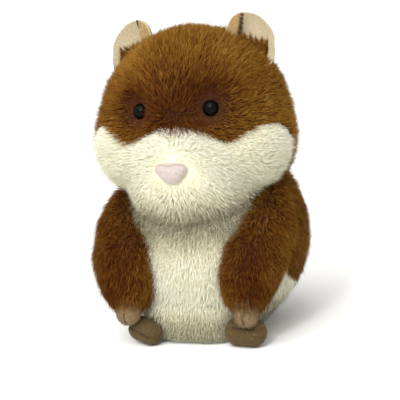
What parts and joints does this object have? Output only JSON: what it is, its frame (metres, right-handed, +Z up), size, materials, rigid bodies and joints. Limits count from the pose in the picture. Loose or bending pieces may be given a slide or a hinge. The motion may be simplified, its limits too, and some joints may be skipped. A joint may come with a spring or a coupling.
{
  "type": "interactive plush pet",
  "caption": "Sitting plush hamster on a plastic base. It records and repeats speech and nods its head on a geared neck pin.",
  "frame": {"origin": "centre of the base plate's underside, where the toy rests on the table", "axes": "+Z up through the body to the crown, -Y towards the face, +X towards the toy's own left hand, which is on the right of a viewer in front"},
  "size_m": [0.0958, 0.0902, 0.1593],
  "materials": {
    "brown_plush": "long brushed pile",
    "cream_plush": "long brushed pile",
    "tan_velour": "short velour",
    "pink_velour": "short velour",
    "padding": "loose fibre",
    "white_plastic": "moulded, fine texture",
    "grey_plastic": "moulded",
    "black_plastic": "moulded",
    "black_gloss": "polished",
    "nylon": "natural nylon",
    "brass": "turned",
    "steel": "plated",
    "cell_jacket": "printed sleeve without words",
    "board_green": "solder mask",
    "speaker_paper": "film cone",
    "red_lead": "sleeve",
    "grey_lead": "sleeve",
    "yellow_lead": "sleeve",
    "white_lead": "sleeve"
  },
  "bodies": {
    "body": {"base_plate": "white_plastic", "skin_clamp_ring": "white_plastic", "battery_box": "white_plastic", "battery_cells": "cell_jacket", "battery_springs": "steel", "battery_contacts": "steel", "base_screws": "steel", "power_switch_housing": "black_plastic", "drum_front": "white_plastic", "drum_back": "white_plastic", "drum_screws": "steel", "gearbox_frame": "grey_plastic", "gearbox_cover": "grey_plastic", "gearbox_screws": "steel", "drive_motor": "steel", "gear_shafts": "steel", "neck_pin": "steel", "main_board": "board_green", "board_chips": "black_plastic", "speaker_basket": "steel", "speaker_cone": "speaker_paper", "microphone": "black_plastic", "power_leads": "red_lead", "motor_leads": "grey_lead", "speaker_leads": "yellow_lead", "microphone_leads": "white_lead", "body_padding": "padding", "belly_panel": "cream_plush", "back_panel": "brown_plush", "base_hem": "cream_plush", "neck_gusset": "brown_plush", "foot_left": "tan_velour", "foot_right": "tan_velour"},
    "battery_cover": {"battery_door": "white_plastic", "door_screw": "steel"},
    "switch_slider": {"power_switch_knob": "black_plastic"},
    "motor_shaft": {"motor_pinion": "brass"},
    "gear_one": {"first_gear": "nylon"},
    "gear_two": {"second_gear": "nylon"},
    "head": {"head_carrier": "white_plastic", "head_plate": "white_plastic", "head_plate_screws": "steel", "head_stuffing": "padding", "crown_panel": "brown_plush", "muzzle_panel": "cream_plush", "cheek_left": "cream_plush", "cheek_right": "cream_plush", "ear_left": "tan_velour", "ear_right": "tan_velour", "eye_left": "black_gloss", "eye_right": "black_gloss", "eye_washers": "white_plastic", "nose": "pink_velour"},
    "left_arm": {"arm_left": "brown_plush", "arm_fill_left": "padding", "hand_left": "tan_velour"},
    "right_arm": {"arm_right": "brown_plush", "arm_fill_right": "padding", "hand_right": "tan_velour"}
  },
  "joints": [
    {"name": "head_nod", "type": "hinge", "parent": "body", "child": "head", "pos_m": [0, 0.002, 0.074], "axis": [1, 0, 0], "range_deg": [-6, 8]},
    {"name": "second_gear_spin", "type": "hinge", "parent": "body", "child": "gear_two", "pos_m": [0, 0.002, 0.05], "axis": [1, 0, 0], "range_deg": [-32, 24]},
    {"name": "first_gear_spin", "type": "hinge", "parent": "body", "child": "gear_one", "pos_m": [0, 0.01026, 0.0382], "axis": [1, 0, 0], "range_deg": [-72, 96]},
    {"name": "motor_spin", "type": "hinge", "parent": "body", "child": "motor_shaft", "pos_m": [0, -0.00196, 0.03376], "axis": [1, 0, 0], "range_deg": [-320, 240]},
    {"name": "power_switch_slide", "type": "slide", "parent": "body", "child": "switch_slider", "axis": [1, 0, 0], "range_m": [0, 0.0025]},
    {"name": "battery_door_off", "type": "slide", "parent": "body", "child": "battery_cover", "axis": [0, 0, -1], "range_m": [0, 0.012]},
    {"name": "left_arm_lift", "type": "hinge", "parent": "body", "child": "left_arm", "pos_m": [-0.037, -0.0154, 0.052], "axis": [-0.534, 0.8455, 0], "range_deg": [0, 18], "stiffness_Nm_per_rad": 0.03, "springref_deg": -5.73},
    {"name": "right_arm_lift", "type": "hinge", "parent": "body", "child": "right_arm", "pos_m": [0.037, -0.0154, 0.052], "axis": [-0.534, -0.8455, 0], "range_deg": [0, 18], "stiffness_Nm_per_rad": 0.03, "springref_deg": -5.73}
  ],
  "couplings": [
    {"joint": "second_gear_spin", "follows": "head_nod", "ratio": -4},
    {"joint": "first_gear_spin", "follows": "head_nod", "ratio": 12},
    {"joint": "motor_spin", "follows": "head_nod", "ratio": -40}
  ]
}
